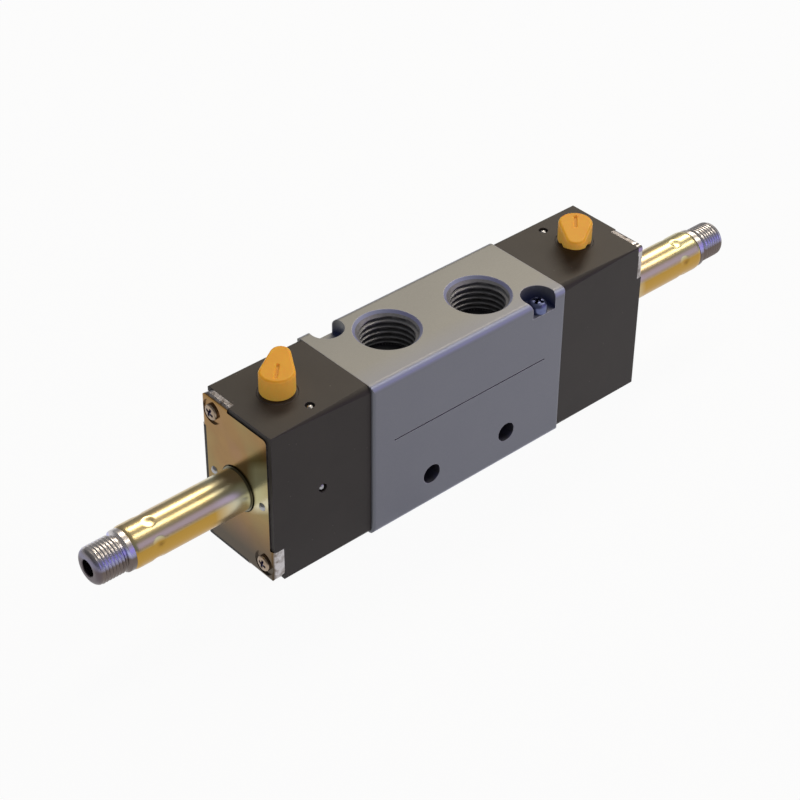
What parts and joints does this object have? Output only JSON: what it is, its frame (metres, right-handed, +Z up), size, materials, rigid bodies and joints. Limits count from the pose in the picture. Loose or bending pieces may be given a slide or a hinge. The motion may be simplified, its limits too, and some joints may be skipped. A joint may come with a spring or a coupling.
{
  "type": "pneumatic solenoid valve",
  "caption": "Double-solenoid spool valve with threaded air ports, pilot housings, armature tubes without coils, and turning manual overrides.",
  "frame": {"origin": "middle of the underside of the aluminium body", "axes": "+X along the spool and the armature tubes, -Y is the front face with the two mounting holes, +Z up through the outlet ports"},
  "size_m": [0.1744, 0.0238, 0.0422],
  "materials": {
    "anodised_aluminium": "satin, fine bead-blasted and clear anodised",
    "black_housing": "matt, fine moulded grain",
    "yellow_zinc": "glossy yellow passivated zinc",
    "bright_steel": "ground bright",
    "dark_steel": "blackened",
    "dull_steel": "turned, grey",
    "zinc_screw": "bright blue-white zinc",
    "brass": "turned",
    "copper": "drawn",
    "orange_plastic": "moulded, half gloss",
    "white_acetal": "moulded",
    "black_rubber": "moulded"
  },
  "bodies": {
    "valve": {"valve_body": "anodised_aluminium", "seal_cages": "white_acetal", "spool_seals": "black_rubber", "stack_washers": "bright_steel", "corner_screw": "zinc_screw", "gasket_left": "black_rubber", "pilot_housing_left": "black_housing", "housing_screws_left": "dark_steel", "pilot_nozzle_left": "brass", "override_bush_left": "black_housing", "plug_balls_left": "bright_steel", "end_plate_left": "yellow_zinc", "plate_screws_left": "zinc_screw", "locating_pins_left": "bright_steel", "armature_tube_left": "yellow_zinc", "tube_ring_left": "black_rubber", "core_stud_left": "dull_steel", "shading_ring_left": "copper", "gasket_right": "black_rubber", "pilot_housing_right": "black_housing", "housing_screws_right": "dark_steel", "pilot_nozzle_right": "brass", "override_bush_right": "black_housing", "plug_balls_right": "bright_steel", "end_plate_right": "yellow_zinc", "plate_screws_right": "zinc_screw", "locating_pins_right": "bright_steel", "armature_tube_right": "yellow_zinc", "tube_ring_right": "black_rubber", "core_stud_right": "dull_steel", "shading_ring_right": "copper"},
    "spool": {"spool": "bright_steel", "piston_left": "white_acetal", "piston_seal_left": "black_rubber", "piston_right": "white_acetal", "piston_seal_right": "black_rubber"},
    "plunger_left": {"plunger_left": "dull_steel", "plunger_nose_left": "black_rubber", "plunger_spring_left": "bright_steel"},
    "override_left": {"override_lever_left": "orange_plastic", "override_stem_left": "brass", "stem_ring_left": "black_rubber"},
    "plunger_right": {"plunger_right": "dull_steel", "plunger_nose_right": "black_rubber", "plunger_spring_right": "bright_steel"},
    "override_right": {"override_lever_right": "orange_plastic", "override_stem_right": "brass", "stem_ring_right": "black_rubber"}
  },
  "joints": [
    {"name": "spool_slide", "type": "slide", "parent": "valve", "child": "spool", "axis": [1, 0, 0], "range_m": [0, 0.0048]},
    {"name": "plunger_left_lift", "type": "slide", "parent": "valve", "child": "plunger_left", "axis": [-1, 0, 0], "range_m": [0, 0.0009], "stiffness_N_per_m": 600, "springref_m": -0.0025, "deforming": ["plunger_spring_left"]},
    {"name": "override_left_turn", "type": "hinge", "parent": "valve", "child": "override_left", "pos_m": [-0.0408, 0, 0.0385], "axis": [0, 0, 1], "range_deg": [0, 90]},
    {"name": "plunger_right_lift", "type": "slide", "parent": "valve", "child": "plunger_right", "axis": [1, 0, 0], "range_m": [0, 0.0009], "stiffness_N_per_m": 600, "springref_m": -0.0025, "deforming": ["plunger_spring_right"]},
    {"name": "override_right_turn", "type": "hinge", "parent": "valve", "child": "override_right", "pos_m": [0.0408, 0, 0.0385], "axis": [0, 0, 1], "range_deg": [0, 90]}
  ]
}
